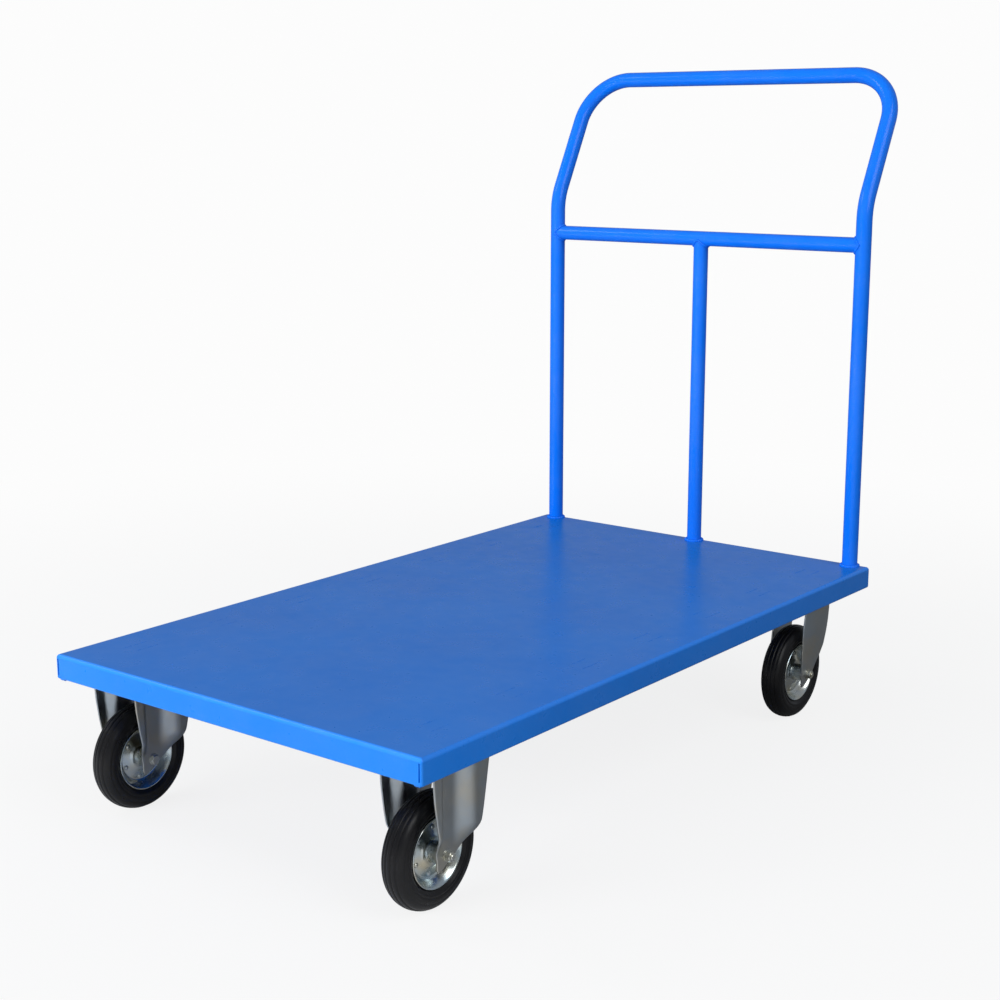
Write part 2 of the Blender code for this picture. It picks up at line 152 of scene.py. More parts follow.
def dress(tree, shader, colour, gloss, height, strength, distance):
    """Gives a shader its colour and gloss, and a bump that is strength of distance high."""
    bump = put(tree, "ShaderNodeBump", Strength=strength, Distance=distance, Height=height)
    tree.links.new(colour, shader.inputs["Base Color"])
    tree.links.new(gloss, shader.inputs["Roughness"])
    tree.links.new(bump.outputs["Normal"], shader.inputs["Normal"])


# Painted highlight colour: a brighter blue for the light that catches the deck's folded edges.
PAINTED_HIGHLIGHT_BLUE = (0.030, 0.270, 1.0)
SETTLED_DUST = (0.42, 0.47, 0.55)


def powder_coat(name, colour, deep, roughness):
    """Blue powder coat: uneven in depth and gloss, orange peel, dust, and a painted highlight of brighter blue along
    folds that a mesh marks with its bend attribute.
    """
    material, tree, shader, place = surface(name)
    tone = blend(tree, group_in(tree, PATCHY, place, Scale=5, Low=0, High=1), colour, deep)
    # Painted highlight: where the bend attribute is set, the colour moves towards a brighter blue.
    bend = put(tree, "ShaderNodeAttribute", {"attribute_name": "bend"})
    painted_fold_highlight = blend(tree, bend.outputs["Fac"], tone, PAINTED_HIGHLIGHT_BLUE)
    dusty = blend(tree, group_in(tree, GRIT, place, Scale=260, Amount=0.03), painted_fold_highlight, SETTLED_DUST)
    gloss = group_in(tree, PATCHY, place, Scale=38, Low=roughness - 0.04, High=roughness + 0.05)
    dress(tree, shader, dusty, gloss, group_in(tree, SKIN, place, Fine=620, Long=9, Share=0.9), 0.12, 0.0016)
    shader.inputs["Specular IOR Level"].default_value = 0.26
    return material


DECK_PAINT = powder_coat("deck_powder_coat", (0.006, 0.185, 0.70), (0.005, 0.168, 0.66), 0.30)


def in_scene(name, data):
    """A new object in the scene, at the origin."""
    made = bpy.data.objects.new(name, data)
    bpy.context.scene.collection.objects.link(made)
    return made


def finished(name, bm, finish, angle=38, flats=True):
    """A bmesh as a finished piece: faces outwards, smooth over its bends, even shading on its flats."""
    bmesh.ops.recalc_face_normals(bm, faces=bm.faces)
    mesh = bpy.data.meshes.new(name)
    bm.to_mesh(mesh)
    bm.free()
    mesh.materials.append(finish)
    mesh.shade_smooth()
    mesh.set_sharp_from_angle(angle=math.radians(angle))
    piece = in_scene(name, mesh)
    if flats:
        piece.modifiers.new("even_flats", "WEIGHTED_NORMAL").keep_sharp = True
    return piece


def skin_over(bm, rings, closed=False):
    """Joins rings of points with faces. A closed skin joins its last ring to its first, an open one is capped."""
    rows = [[bm.verts.new(p) for p in ring] for ring in rings]
    pairs = list(zip(rows, rows[1:]))
    if closed:
        pairs.append((rows[-1], rows[0]))
    for a, b in pairs:
        for i in range(len(a)):
            j = (i + 1) % len(a)
            bm.faces.new((a[i], a[j], b[j], b[i]))
    if not closed:
        bm.faces.new(rows[0])
        bm.faces.new(rows[-1][::-1])
    return rows


def middle_of(node):
    """The middle of a CAD node's box."""
    low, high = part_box(node)
    return (Vector(low) + Vector(high)) / 2


deck_low, deck_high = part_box("deck_sheet")
deck_middle = middle_of("deck_sheet")
DECK_TOP = deck_high[2]
SKIRT_BOTTOM = deck_low[2]
HALF_X = (deck_high[0] - deck_low[0]) / 2
HALF_Y = (deck_high[1] - deck_low[1]) / 2
SHEET = 0.002
FOLD = 0.006
FOLD_STEPS = 8
FOOT_FOLD = 0.003
INNER_FOLD = 0.001
LIP = 0.0004
CORNER = 0.0035
CORNER_STEPS = 6
RETURN = 0.0125
SLIT_FROM_CORNER = 0.0048
SLIT_DEPTH = 0.0019
SLIT_EDGE = ((-0.0013, 0.0), (-0.0010, 0.12), (-0.0008, 1.0), (0.0008, 1.0), (0.0010, 0.12), (0.0013, 0.0))


def quarter(steps):
    """The angles from none to a right angle, in even steps."""
    return [math.pi / 2 * k / steps for k in range(steps + 1)]


def deck_ring(inset, z, slit):
    """One ring round the deck, set in by inset. Where slit is set, the end faces dip at the corner slits."""
    points = []
    radius = max(CORNER - inset, LIP)
    for corner, (sx, sy) in enumerate(((1, 1), (-1, 1), (-1, -1), (1, -1))):
        centre_x = sx * (HALF_X - max(inset, CORNER - radius) - radius)
        centre_y = sy * (HALF_Y - max(inset, CORNER - radius) - radius)
        for k in range(CORNER_STEPS + 1):
            angle = math.pi / 2 * (corner + k / CORNER_STEPS)
            points.append((centre_x + radius * math.cos(angle), centre_y + radius * math.sin(angle), z))
        if corner in (0, 2):
            for side in (sx, -sx):
                for k, (along, dip) in enumerate(SLIT_EDGE):
                    x = side * (HALF_X - SLIT_FROM_CORNER) + sx * -along
                    nearest = abs(centre_x) - 0.00002 * (k + 1 if side == sx else len(SLIT_EDGE) - k)
                    x = math.copysign(min(abs(x), nearest), x)
                    points.append((x, sy * (HALF_Y - inset - slit * dip), z))
    return [(x, y + deck_middle.y, z) for x, y, z in points]


def deck():
    """The folded sheet, from its top round the skirt and the return to its underside."""
    rings = [(FOLD + 0.02, DECK_TOP, 0)]
    for turn in quarter(FOLD_STEPS):
        rings.append((FOLD * (1 - math.sin(turn)), DECK_TOP - FOLD * (1 - math.cos(turn)), 0))
    slit_top, slit_foot = DECK_TOP - FOLD - 0.0005, SKIRT_BOTTOM + 0.0055
    rings += [(0, slit_top, 0), (0, slit_top - 0.0006, SLIT_DEPTH)]
    rings += [(0, slit_foot + 0.0008, SLIT_DEPTH), (0, slit_foot, 0)]
    for turn in quarter(5):
        rings.append((FOOT_FOLD * (1 - math.cos(turn)), SKIRT_BOTTOM + FOOT_FOLD * (1 - math.sin(turn)), 0))
    rings += [(RETURN - LIP, SKIRT_BOTTOM, 0), (RETURN, SKIRT_BOTTOM + LIP, 0)]
    rings += [(RETURN, SKIRT_BOTTOM + SHEET - LIP, 0), (RETURN - LIP, SKIRT_BOTTOM + SHEET, 0)]
    for turn in quarter(3):
        inset = SHEET + INNER_FOLD * (1 - math.sin(turn))
        rings.append((inset, SKIRT_BOTTOM + SHEET + INNER_FOLD * (1 - math.cos(turn)), 0))
    under_fold = FOLD - SHEET
    for turn in quarter(5):
        inset = SHEET + under_fold * (1 - math.cos(turn))
        rings.append((inset, DECK_TOP - FOLD + under_fold * math.sin(turn), 0))
    bm = bmesh.new()
    bend = bm.verts.layers.float.new("bend")
    rows = skin_over(bm, [deck_ring(*ring) for ring in rings])
    # Painted highlight: the fold's rings get a bend weight that brightens the blue band along the top edges. It is
    # strongest at the middle of the fold.
    for k in range(FOLD_STEPS + 1):
        for vertex in rows[1 + k]:
            vertex[bend] = 0.85 * math.sin(math.pi * k / FOLD_STEPS)
    return finished("deck", bm, DECK_PAINT)


deck_piece = deck()
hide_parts("deck_sheet")
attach(deck_piece, "cart")

# ------------------------------------------------------------------------------------------ frame
# The frame under the deck: 28 mm high rectangular steel tube with rounded corners, two side rails over the
# castors and two cross rails between them. All of it is welded to the deck and coated with it.

FRAME_PAINT = powder_coat("frame_powder_coat", (0.009, 0.150, 0.62), (0.007, 0.130, 0.56), 0.42)
TUBE_WALL = 0.002
TUBE_LIP = 0.0004
TUBE_CORNER, TUBE_CORNER_INSIDE = 0.0035, 0.0017


def rounded_outline(half_a, half_b, radius, steps=5):
    """Points of a rectangle with round corners, as (a, b) pairs."""
    points = []
    for corner, (sa, sb) in enumerate(((1, 1), (-1, 1), (-1, -1), (1, -1))):
        for k in range(steps + 1):
            turn = math.pi / 2 * (corner + k / steps)
            a = sa * (half_a - radius) + radius * math.cos(turn)
            b = sb * (half_b - radius) + radius * math.sin(turn)
            points.append((a, b))
    return points


def frame_tube(name, node, along):
    """A rectangular tube in the place of a CAD rail, along X (0) or Y (1), open at both ends."""
    low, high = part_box(node)
    middle = middle_of(node)
    across = 1 - along
    half_a, half_z = (high[across] - low[across]) / 2, (high[2] - low[2]) / 2
    reach = (low[along] + TUBE_LIP, high[along] - TUBE_LIP)
    rings = []
    for inset, radius, ends in ((0, TUBE_CORNER, reach), (TUBE_WALL, TUBE_CORNER_INSIDE, reach[::-1])):
        outline = rounded_outline(half_a - inset, half_z - inset, radius)
        for at in ends:
            ring = [Vector((a, at, b)) if along else Vector((at, a, b)) for a, b in outline]
            rings.append([Vector((p.x + middle.x * along, p.y + middle.y * across, p.z + middle.z)) for p in ring])
    bm = bmesh.new()
    skin_over(bm, rings, closed=True)
    piece = finished(name, bm, FRAME_PAINT)
    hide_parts(node)
    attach(piece, "cart")


for rail_side in ("left", "right"):
    frame_tube(f"frame_rail_{rail_side}", f"side_rail_{rail_side}", 1)
frame_tube("frame_cross_tube_middle", "cross_rail_middle", 0)
frame_tube("frame_cross_tube_rear", "cross_rail_rear", 0)


# ------------------------------------------------------------------------------------------ castor strips
# A flat steel strip runs across under the rails over each pair of castors. It is 4 mm plate with rounded
# corners, welded to both rails, and the castor plates bolt to it.

def slab(bm, low, high, corner, edge=0.0006):
    """A flat plate with round corners in plan and a small radius on its edges."""
    centre = (Vector(low) + Vector(high)) / 2
    half_x, half_y = (high[0] - low[0]) / 2, (high[1] - low[1]) / 2
    rings = [(edge * 3, low[2]), (edge, low[2]), (edge * 0.3, low[2] + edge * 0.3), (0, low[2] + edge)]
    rings += [(0, high[2] - edge), (edge * 0.3, high[2] - edge * 0.3), (edge, high[2]), (edge * 3, high[2])]
    loops = []
    for inset, z in rings:
        outline = rounded_outline(half_x - inset, half_y - inset, corner - inset, 6)
        loops.append([(a + centre.x, b + centre.y, z) for a, b in outline])
    skin_over(bm, loops)


STRIP_CORNER = 0.004
for strip_end in ("front", "rear"):
    strip_bm = bmesh.new()
    slab(strip_bm, *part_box(f"mount_strip_{strip_end}"), STRIP_CORNER)
    strip = finished(f"castor_strip_{strip_end}", strip_bm, FRAME_PAINT)
    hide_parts(f"mount_strip_{strip_end}")
    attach(strip, "cart")


# ------------------------------------------------------------------------------------------ handle
# The push handle: one length of 27 mm steel pipe bent into a hoop that leans back above the knees, with a
# crossbar and a centre post welded in. Its feet stand on the deck, flush with the deck's rear edge.

HANDLE_PAINT = powder_coat("handle_powder_coat", (0.002, 0.180, 0.90), (0.002, 0.165, 0.85), 0.20)


def new_tree(name, inputs):
    """A geometry tree with a Geometry input, the named inputs given as (label, kind, value), and its in and out."""
    tree = bpy.data.node_groups.new(name, "GeometryNodeTree")
    tree.interface.new_socket("Geometry", in_out="INPUT", socket_type="NodeSocketGeometry")
    for label, kind, value in inputs:
        socket = tree.interface.new_socket(label, in_out="INPUT", socket_type="NodeSocket" + kind)
        if value is not None:
            socket.default_value = value
    tree.interface.new_socket("Geometry", in_out="OUTPUT", socket_type="NodeSocketGeometry")
    return tree, tree.nodes.new("NodeGroupInput").outputs, tree.nodes.new("NodeGroupOutput").inputs


def grown(name, tree, mesh, finish, **values):
    """Runs a tree on a mesh and returns the plain mesh it makes, as a finished piece."""
    start = in_scene(f"{name}_start", mesh)
    modifier = start.modifiers.new("grow", "NODES")
    modifier.node_group = tree
    for item in tree.interface.items_tree:
        if item.item_type == "SOCKET" and item.in_out == "INPUT":
            if item.name == "Material":
                modifier[item.identifier] = finish
            elif item.name in values:
                modifier[item.identifier] = values[item.name]
    graph = bpy.context.evaluated_depsgraph_get()
    grown_mesh = bpy.data.meshes.new_from_object(start.evaluated_get(graph), depsgraph=graph)
    start.modifiers.remove(modifier)
    bpy.data.objects.remove(start)
    grown_mesh.name = name
    return in_scene(name, grown_mesh)


def path_mesh(*lines, ring=False):
    """A mesh of edges along each line of points, closed into rings if asked."""
    mesh = bpy.data.meshes.new("path")
    points, edges = [], []
    for line in lines:
        first = len(points)
        points += [tuple(p) for p in line]
        edges += [(i, i + 1) for i in range(first, len(points) - 1)]
        if ring:
            edges.append((len(points) - 1, first))
    mesh.from_pydata(points, edges, [])
    return mesh


def close_tree(tree, came, out, geometry, smooth=False):
    """Ends a tree: copies made real, smooth where asked, with the piece's material on them."""
    if smooth:
        geometry = put(tree, "GeometryNodeSetShadeSmooth", Geometry=geometry).outputs["Geometry"]
    real = put(tree, "GeometryNodeRealizeInstances", Geometry=geometry)
    final = put(tree, "GeometryNodeSetMaterial", Geometry=real.outputs["Geometry"], Material=came["Material"])
    tree.links.new(final.outputs["Geometry"], out["Geometry"])
    return tree


def sweep(tree, line, sides, radius):
    """A round section carried along a curve, with closed ends."""
    section = put(tree, "GeometryNodeCurvePrimitiveCircle", Resolution=sides, Radius=radius).outputs["Curve"]
    return put(tree, "GeometryNodeCurveToMesh", Curve=line, Profile_Curve=section, Fill_Caps=True).outputs["Mesh"]


def build_pipe_tree():
    """Round pipe along a path, with closed ends."""
    tree, came, out = new_tree("pipe_along_path", (
        ("Radius", "Float", 0.0134), ("Sides", "Int", 48), ("Material", "Material", None),
    ))
    line = put(tree, "GeometryNodeMeshToCurve", Mesh=came["Geometry"])
    pipe = sweep(tree, line.outputs["Curve"], came["Sides"], came["Radius"])
    return close_tree(tree, came, out, pipe, smooth=True)


def build_weld_tree():
    """A weld bead along a path: a low round bead with the ripples that the torch leaves, one every Pitch."""
    tree, came, out = new_tree("weld_bead", (
        ("Size", "Float", 0.003), ("Pitch", "Float", 0.0024), ("Ripple", "Float", 0.00035), ("Seed", "Float", 1.0),
        ("Material", "Material", None),
    ))
    line = put(tree, "GeometryNodeMeshToCurve", Mesh=came["Geometry"])
    fine = put(tree, "GeometryNodeResampleCurve", {"mode": "LENGTH"}, Curve=line.outputs["Curve"], Length=0.0006)
    kept = tree.nodes.new("GeometryNodeCaptureAttribute")
    kept.capture_items.new("FLOAT", "Along")
    tree.links.new(fine.outputs["Curve"], kept.inputs["Geometry"])
    tree.links.new(put(tree, "GeometryNodeSplineParameter").outputs["Length"], kept.inputs["Along"])
    bead = sweep(tree, kept.outputs["Geometry"], 10, came["Size"])
    angle = maths(tree, "MULTIPLY", maths(tree, "DIVIDE", kept.outputs["Along"], came["Pitch"]), 2 * math.pi)
    rough = put(tree, "ShaderNodeTexNoise", {"noise_dimensions": "4D"}, W=came["Seed"], Scale=170.0, Detail=2.0)
    lumps = mapped(tree, rough.outputs["Fac"], 0.0, 1.0, -2.2, 2.2)
    rise = maths(tree, "MULTIPLY", maths(tree, "ADD", maths(tree, "SINE", angle), lumps), came["Ripple"])
    facing = put(tree, "GeometryNodeInputNormal").outputs["Normal"]
    move = put(tree, "ShaderNodeVectorMath", {"operation": "SCALE"}, _0=facing, Scale=rise)
    moved = put(tree, "GeometryNodeSetPosition", Geometry=bead, Offset=move.outputs["Vector"])
    return close_tree(tree, came, out, moved.outputs["Geometry"], smooth=True)


PIPE_TREE, WELD_TREE = build_pipe_tree(), build_weld_tree()
bar_low, bar_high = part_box("handle_crossbar")
hoop_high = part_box("handle_pipe")[1]
PIPE_RADIUS = 0.01345
INNER_RADIUS = PIPE_RADIUS - 0.0004
KNEE_BEND, GRIP_BEND = 0.100, 0.085
POST_X = 0.318
POST_Y = (bar_low[1] + bar_high[1]) / 2
BAR_Z = (bar_low[2] + bar_high[2]) / 2
KNEE_Z = DECK_TOP + 0.620
GRIP_Y = hoop_high[1] - PIPE_RADIUS
GRIP_Z = hoop_high[2] - PIPE_RADIUS
FOOT_Z = DECK_TOP + 0.0003


def bent_line(corners, radii, step=math.radians(3)):
    """A centreline through corners, with an arc of the given radius at each inner one."""
    line = [Vector(corners[0])]
    for before, at, after, radius in zip(corners, corners[1:], corners[2:], radii):
        back = (Vector(before) - Vector(at)).normalized()
        on = (Vector(after) - Vector(at)).normalized()
        bend = math.pi - back.angle(on)
        centre = Vector(at) + (back + on).normalized() * (radius / math.cos(bend / 2))
        start = Vector(at) + back * radius * math.tan(bend / 2) - centre
        axis = start.cross(Vector(at) + on * radius * math.tan(bend / 2) - centre)
        count = max(4, round(bend / step))
        line += [centre + Matrix.Rotation(bend * k / count, 3, axis) @ start for k in range(count + 1)]
    line.append(Vector(corners[-1]))
    return line


hoop_corners = [(-POST_X, POST_Y, FOOT_Z), (-POST_X, POST_Y, KNEE_Z), (-POST_X, GRIP_Y, GRIP_Z)]
hoop_corners += [(POST_X, GRIP_Y, GRIP_Z), (POST_X, POST_Y, KNEE_Z), (POST_X, POST_Y, FOOT_Z)]
hoop_bends = (KNEE_BEND, GRIP_BEND, GRIP_BEND, KNEE_BEND)
hoop = grown(
    "push_handle_hoop", PIPE_TREE, path_mesh(bent_line(hoop_corners, hoop_bends)), HANDLE_PAINT,
    Radius=PIPE_RADIUS,
)
crossbar = grown(
    "push_handle_crossbar", PIPE_TREE, path_mesh([(-POST_X, POST_Y, BAR_Z), (POST_X, POST_Y, BAR_Z)]), HANDLE_PAINT,
    Radius=INNER_RADIUS,
)
centre_post = grown(
    "push_handle_centre_post", PIPE_TREE, path_mesh([(0, POST_Y, FOOT_Z), (0, POST_Y, BAR_Z)]), HANDLE_PAINT,
    Radius=INNER_RADIUS,
)
for handle_part, node in ((hoop, "handle_pipe"), (crossbar, "handle_crossbar"), (centre_post, "handle_centre_post")):
    for polygon in handle_part.data.polygons:
        polygon.use_smooth = len(polygon.vertices) == 4
    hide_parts(node)
    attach(handle_part, "cart")


# ------------------------------------------------------------------------------------------ handle welds
# Fillet welds laid by hand round each foot of the handle and round each end of the crossbar, and of the
# centre post where it meets the crossbar. They are coated over with the handle.

def circle(count, start=0):
    """The angles of count even places round a circle, the first one start places on."""
    return [2 * math.pi * (k + start) / count for k in range(count)]


def round_foot(x):
    """A ring round a post where it meets the deck."""
    reach = PIPE_RADIUS + 0.0011
    return [(x + reach * math.cos(a), POST_Y + reach * math.sin(a), DECK_TOP + 0.0006) for a in circle(60)]


def round_tee(middle, way):
    """A ring round the end of a pipe that comes in along way and meets a crossing pipe of the same size."""
    reach = PIPE_RADIUS + 0.0003
    way = Vector(way)
    side = Vector((0, 1, 0))
    third = way.cross(side)
    ring = []
    for a in circle(72):
        flat = 0.985 * math.cos(a)
        drop = math.sqrt(1 - flat * flat)
        ring.append(Vector(middle) - way * reach * drop + side * reach * flat + third * reach * math.sin(a))
    return ring


foot_welds = grown(
    "handle_foot_welds", WELD_TREE, path_mesh(*[round_foot(x) for x in (-POST_X, 0, POST_X)], ring=True),
    HANDLE_PAINT, Size=0.0030, Pitch=0.0030, Ripple=0.00030, Seed=3.0,
)
tees = [round_tee((side * POST_X, POST_Y, BAR_Z), (side, 0, 0)) for side in (-1, 1)]
tees.append(round_tee((0, POST_Y, BAR_Z), (0, 0, 1)))
tee_welds = grown(
    "handle_tee_welds", WELD_TREE, path_mesh(*tees, ring=True), HANDLE_PAINT, Size=0.0022, Pitch=0.0030,
    Ripple=0.00022, Seed=8.0,
)
for weld in (foot_welds, tee_welds):
    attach(weld, "cart")


# ------------------------------------------------------------------------------------------ deck welds
# A short weld closes the foot of each corner of the skirt and stands a little below it. Stitch welds hold
# the rails to the deck, and run where each rail meets the strips.

WELD_FROM_EDGE = 0.0045
STITCH_STEP = 0.002
STITCH_POINTS = 21
STITCHES_PER_EDGE = 7
corner_paths = []
for side_x in (-1, 1):
    for side_y in (-1, 1):
        x = side_x * (HALF_X - WELD_FROM_EDGE)
        y = deck_middle.y + side_y * (HALF_Y - WELD_FROM_EDGE)
        corner_paths.append([
            (x - side_x * (0.0105 - 0.0007 * k), y, SKIRT_BOTTOM + 0.0002 + 0.0002 * math.cos(k)) for k in range(15)
        ])
corner_welds = grown(
    "deck_corner_welds", WELD_TREE, path_mesh(*corner_paths), DECK_PAINT, Size=0.0026, Pitch=0.0034, Ripple=0.00022,
    Seed=5.0,
)


def stitch(x, y, z):
    """A short straight weld along Y."""
    return [(x, y + STITCH_STEP * j, z) for j in range(STITCH_POINTS)]


stitches = []
for rail_side in ("left", "right"):
    rail_low, rail_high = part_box(f"side_rail_{rail_side}")
    for edge_x in (rail_low[0], rail_high[0]):
        for k in range(STITCHES_PER_EDGE):
            y = rail_low[1] + 0.07 + k * (rail_high[1] - rail_low[1] - 0.18) / (STITCHES_PER_EDGE - 1)
            stitches.append(stitch(edge_x, y, DECK_TOP - SHEET - 0.0006))
        for end in ("front", "rear"):
            strip_low, strip_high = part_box(f"mount_strip_{end}")
            for y in (strip_low[1] + 0.012, strip_high[1] - 0.052):
                stitches.append(stitch(edge_x, y, strip_high[2] + 0.0004))
stitch_welds = grown(
    "frame_stitch_welds", WELD_TREE, path_mesh(*stitches), FRAME_PAINT, Size=0.0026, Pitch=0.0032, Ripple=0.00040,
    Seed=2.0,
)
for weld in (corner_welds, stitch_welds):
    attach(weld, "cart")


# ------------------------------------------------------------------------------------------ castor bolts
# Each castor plate is held by four M8 hexagon bolts from below, with a washer under each head and a nut
# above the strip. They are bright zinc plated, and no two heads end at the same angle.

def zinc(name, colour, cool, warm, low, high):
    """Bright zinc plate: grey with drifting bluish and straw tints, faint polishing lines and uneven gloss."""
    material, tree, shader, place = surface(name)
    tint = blend(tree, group_in(tree, PATCHY, place, Scale=16, Low=0, High=1), colour, cool)
    warmed = blend(tree, group_in(tree, PATCHY, place, Scale=23.7, Low=-0.5, High=0.9), tint, warm)
    stretched = put(tree, "ShaderNodeMapping", Vector=place, Scale=(60, 60, 900))
    lines = cloud(tree, stretched.outputs["Vector"], 1.0, 2.0)
    gloss = group_in(tree, PATCHY, place, Scale=70, Low=low, High=high)
    rough = maths(tree, "ADD", gloss, mapped(tree, lines, 0.0, 1.0, -0.05, 0.05))
    dress(tree, shader, warmed, rough, group_in(tree, SKIN, place, Fine=900, Long=45, Share=0.8), 0.16, 0.0006)
    shader.inputs["Metallic"].default_value = 1.0
    return material


FASTENER_ZINC = zinc("fastener_zinc", (0.60, 0.62, 0.62), (0.50, 0.58, 0.66), (0.66, 0.62, 0.48), 0.24, 0.38)


def hexagon(bm, low, high, flats, chamfer_low, chamfer_high, steps=6):
    """A hexagon head or nut along Z, with the round chamfer of a turned blank at the ends that ask for one."""
    corner = flats / math.cos(math.pi / 6)
    drop = 0.16 * flats
    rings = []
    if chamfer_low:
        rings += [(low, flats * 0.95), (low + drop * 0.35, flats * 1.03)]
    rings.append((low + (drop if chamfer_low else 0), corner))
    rings.append((high - (drop if chamfer_high else 0), corner))
    if chamfer_high:
        rings += [(high - drop * 0.35, flats * 1.03), (high, flats * 0.95)]
    loops = []
    for z, limit in rings:
        loop = []
        for k in range(6 * steps):
            a = math.pi / 3 * k / steps
            reach = min(limit, flats / math.cos((a + math.pi / 6) % (math.pi / 3) - math.pi / 6))
            loop.append((reach * math.cos(a), reach * math.sin(a), z))
        loops.append(loop)
    skin_over(bm, loops)


def spun(bm, profile, sides, closed=False):
    """Turns (along, radius) points about Z. Where closed, the profile's two ends join into a ring."""
    loops = [[(radius * math.cos(a), radius * math.sin(a), along) for a in circle(sides)] for along, radius in profile]
    skin_over(bm, loops, closed)


def build_set_tree():
    """Sets a copy of Shape on each point, its Z along the point's own direction, turned at random by Spin."""
    tree, came, out = new_tree("set_on_points", (
        ("Shape", "Object", None), ("Spin", "Float", 3.14), ("Seed", "Int", 1), ("Material", "Material", None),
    ))
    shape = put(tree, "GeometryNodeObjectInfo", Object=came["Shape"])
    way = put(tree, "GeometryNodeInputNamedAttribute", {"data_type": "FLOAT_VECTOR"}, Name="outwards")
    stand = put(tree, "FunctionNodeAlignRotationToVector", {"axis": "Z"}, Vector=way.outputs["Attribute"])
    back = maths(tree, "MULTIPLY", came["Spin"], -1.0)
    chance = put(
        tree, "FunctionNodeRandomValue", {"data_type": "FLOAT"}, _2=back, _3=came["Spin"], Seed=came["Seed"],
    )
    turn = put(tree, "FunctionNodeAxisAngleToRotation", Axis=(0, 0, 1), Angle=chance.outputs[1])
    both = put(
        tree, "FunctionNodeRotateRotation", {"rotation_space": "LOCAL"}, Rotation=stand.outputs["Rotation"],
        Rotate_By=turn.outputs["Rotation"],
    )
    placed = put(
        tree, "GeometryNodeInstanceOnPoints", Points=came["Geometry"], Instance=shape.outputs["Geometry"],
        Rotation=both.outputs["Rotation"],
    )
    return close_tree(tree, came, out, placed.outputs["Instances"])


SET_TREE = build_set_tree()


def set_on(name, shape_bm, places, finish, seed, angle=28):
    """One piece made of a shape set at each (point, outwards) place."""
    shape = finished(f"{name}_shape", shape_bm, finish, angle, flats=False)
    mesh = bpy.data.meshes.new("places")
    mesh.from_pydata([tuple(p) for p, _ in places], [], [])
    kept = mesh.attributes.new("outwards", "FLOAT_VECTOR", "POINT")
    for k, (_, way) in enumerate(places):
        kept.data[k].vector = way
    piece = grown(name, SET_TREE, mesh, finish, Shape=shape, Seed=seed, Spin=3.14)
    bpy.data.objects.remove(shape)
    return piece


BOLT_FLATS = 0.0062
WASHER = 0.0080
SHANK = 0.0036
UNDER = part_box("mounting_bolt_front_left_1")[0][2]
bolt_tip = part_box("mounting_bolt_front_left_1")[1][2] - UNDER
strip_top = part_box("mount_strip_front")[1][2] - UNDER
bolt_bm = bmesh.new()
hexagon(bolt_bm, 0.0, 0.0052, BOLT_FLATS, True, False)
spun(bolt_bm, [(0.0042, 0.0078), (0.0044, WASHER), (0.0054, WASHER), (0.0055, 0.0078)], 32)
spun(bolt_bm, [(0.0050, SHANK), (bolt_tip - 0.0006, SHANK), (bolt_tip, 0.0031)], 16)
hexagon(bolt_bm, strip_top + 0.0014, strip_top + 0.0066, BOLT_FLATS, False, True)
spun(bolt_bm, [(strip_top, WASHER), (strip_top + 0.0015, WASHER)], 32)
bolt_nodes = [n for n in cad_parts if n.startswith("mounting_bolt_")]
bolt_places = []
for node in sorted(bolt_nodes):
    low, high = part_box(node)
    bolt_places.append((((low[0] + high[0]) / 2, (low[1] + high[1]) / 2, UNDER), (0, 0, 1)))
castor_bolts = set_on("castor_bolts", bolt_bm, bolt_places, FASTENER_ZINC, seed=4)
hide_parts(*bolt_nodes)
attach(castor_bolts, "cart")


# ------------------------------------------------------------------------------------------ fixed castor brackets
# The two castors at the free end don't turn. Each bracket is pressed from 3 mm sheet and zinc plated: a flat
# plate with two legs, and each leg is a channel whose sides step outwards to a lip.

BRACKET_ZINC = zinc("bracket_zinc", (0.44, 0.455, 0.45), (0.40, 0.45, 0.49), (0.48, 0.46, 0.40), 0.30, 0.42)
LEG_INSIDE = 0.029
LEG_SHEET = 0.003
PLATE_CORNER = 0.009
PLATE_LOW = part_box("swivel_plate_left")[0][2]
PLATE_HIGH = PLATE_LOW + 0.004
FIXED_FOOT = 0.0608
FIXED_FRONT = (
    (0.0608, -0.0165), (0.0612, -0.0180), (0.0625, -0.0192), (0.066, -0.0198), (0.080, -0.0205), (0.095, -0.0240),
    (0.104, -0.0290), (0.134, -0.0350), (0.165, -0.0395), (0.212, -0.0435),
)
FIXED_REAR = (
    (0.0608, -0.0150), (0.0622, -0.0125), (0.066, -0.0060), (0.072, 0.0045), (0.080, 0.0190), (0.090, 0.0325),
    (0.100, 0.0445), (0.108, 0.0505), (0.118, 0.0545), (0.133, 0.0580), (0.160, 0.0630), (0.212, 0.0720),
)


def read_edge(table, z, soften=0.0025):
    """Reads a smooth value at height z from rows of (height, value)."""
    total = 0
    for k in range(-2, 3):
        at = min(max(z + soften * k / 2, table[0][0]), table[-1][0])
        for (z0, a), (z1, b) in zip(table, table[1:]):
            if at <= z1:
                total += a + (b - a) * (at - z0) / (z1 - z0)
                break
    return total / 5


def ease(t):
    """Smooth step from 0 to 1."""
    t = min(1.0, max(0.0, t))
    return t * t * (3 - 2 * t)


def leg_rows(foot, top, steps):
    """Rows of a leg as (z, pull in towards the wheel), close together round its foot."""
    start = foot + 0.010
    rows = [(foot + 0.0005 * k, 0) for k in range(20)]
    return rows + [(start + (top - start) * k / steps, 0) for k in range(steps + 1)]


